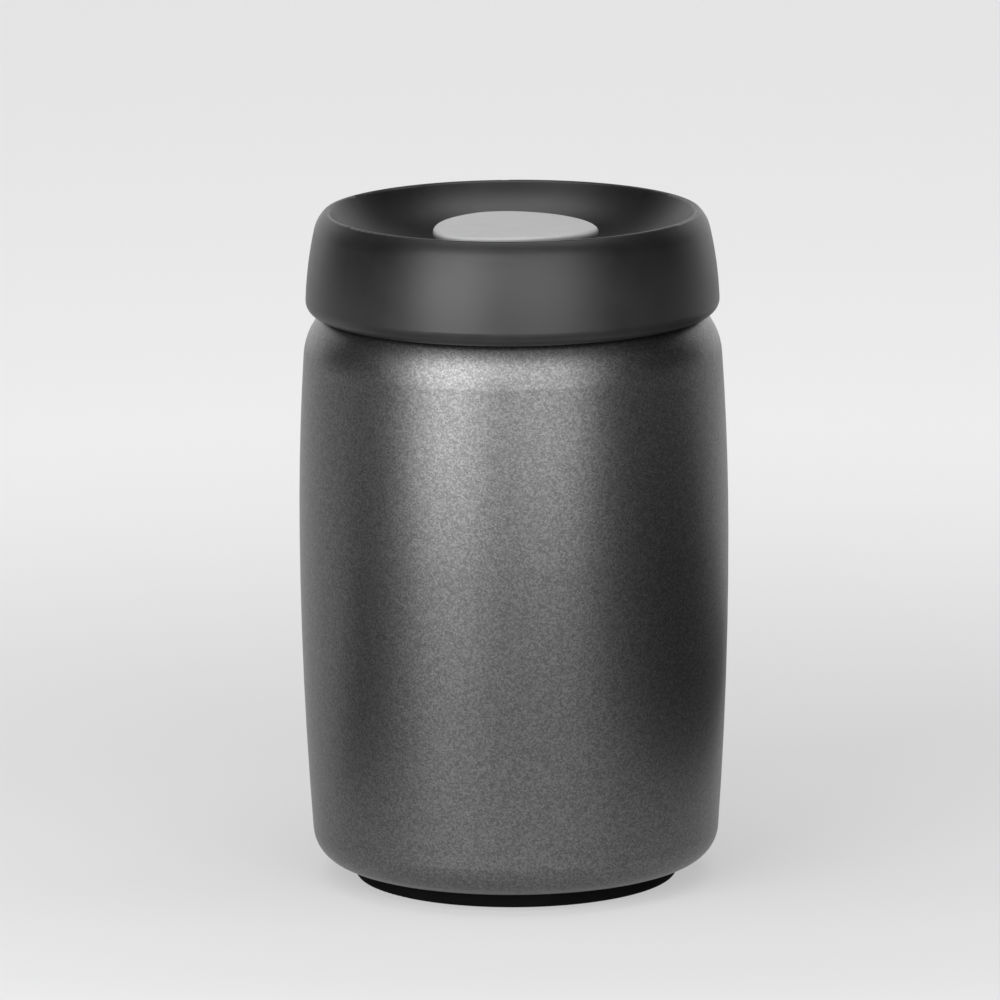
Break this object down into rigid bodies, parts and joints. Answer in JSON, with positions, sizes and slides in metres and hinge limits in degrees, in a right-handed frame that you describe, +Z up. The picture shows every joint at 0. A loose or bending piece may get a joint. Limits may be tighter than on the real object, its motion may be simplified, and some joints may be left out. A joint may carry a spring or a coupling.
{
  "type": "vacuum seal canister",
  "caption": "Round metal food canister with a push-on lid whose sunken button works a hand pump that draws air out of the jar.",
  "frame": {"origin": "centre of the foot, on the surface that the canister stands on", "axes": "+Z up along the canister's axis, -Y to the front, and +X to the right, 18 degrees behind a corner of the button"},
  "size_m": [0.1, 0.1, 0.1572],
  "materials": {
    "coated_steel": "fine speckled gunmetal coating",
    "foot_rubber": "matt",
    "lid_plastic": "soft matt charcoal",
    "liner_plastic": "satin charcoal",
    "silicone": "translucent white silicone",
    "button_plastic": "satin light grey",
    "pump_plastic": "plain moulded white",
    "steel": "bare stainless"
  },
  "bodies": {
    "jar": {"jar_body": "coated_steel", "base_pad": "foot_rubber"},
    "lid": {"lid_cover": "lid_plastic", "inner_lid": "liner_plastic", "main_gasket": "silicone", "lid_screws": "steel", "screw_plugs": "silicone", "pump_cylinder": "pump_plastic", "cylinder_seal": "silicone", "return_spring": "steel", "filter_screen": "steel", "filter_cap": "liner_plastic", "stem_ring": "silicone"},
    "button": {"button_cap": "button_plastic", "piston": "pump_plastic", "piston_seal": "silicone", "stop_bumper": "silicone"},
    "exhaust_flap": {"exhaust_valve": "silicone"},
    "inlet_flap": {"inlet_valve": "silicone"},
    "release": {"release_knob": "button_plastic", "release_seal": "silicone"}
  },
  "joints": [
    {"name": "lid_lift", "type": "slide", "parent": "jar", "child": "lid", "axis": [0, 0, 1], "range_m": [0, 0.06]},
    {"name": "pump_press", "type": "slide", "parent": "lid", "child": "button", "axis": [0, 0, -1], "range_m": [0, 0.0075], "stiffness_N_per_m": 1380, "springref_m": -0.004, "deforming": ["return_spring"]},
    {"name": "exhaust_lift", "type": "slide", "parent": "button", "child": "exhaust_flap", "axis": [0, 0, 1], "range_m": [0, 0.0007]},
    {"name": "inlet_lift", "type": "slide", "parent": "lid", "child": "inlet_flap", "axis": [0, 0, 1], "range_m": [0, 0.0007]},
    {"name": "release_pull", "type": "slide", "parent": "lid", "child": "release", "axis": [0, 0, 1], "range_m": [0, 0.0035]}
  ]
}
